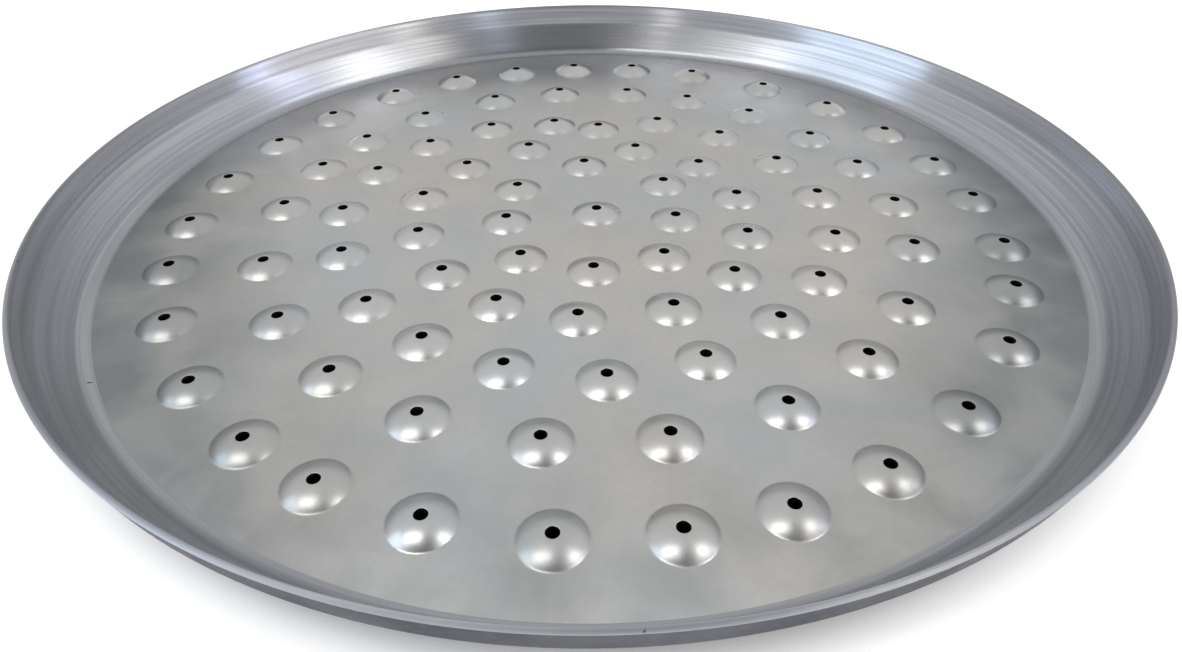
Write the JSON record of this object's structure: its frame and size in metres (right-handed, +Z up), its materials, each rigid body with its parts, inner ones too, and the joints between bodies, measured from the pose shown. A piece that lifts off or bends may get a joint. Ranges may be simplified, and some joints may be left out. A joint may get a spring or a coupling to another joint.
{
  "type": "pizza pan",
  "caption": "Round shallow pizza pan drawn from one aluminium sheet, with a sloping wall, a steeper collar and raised pierced nibs over its floor.",
  "frame": {"origin": "middle of the flat underside, level with what the pan stands on", "axes": "+Z up through the middle of the dish, +Y away from the side that faces the camera in the picture, +X to the right"},
  "size_m": [0.4096, 0.4096, 0.0254],
  "materials": {
    "pan_aluminium": "bare satin aluminium, spun wall, a soft haze and faint bake marks on the floor"
  },
  "bodies": {
    "root": {"pan": "pan_aluminium"}
  },
  "joints": []
}
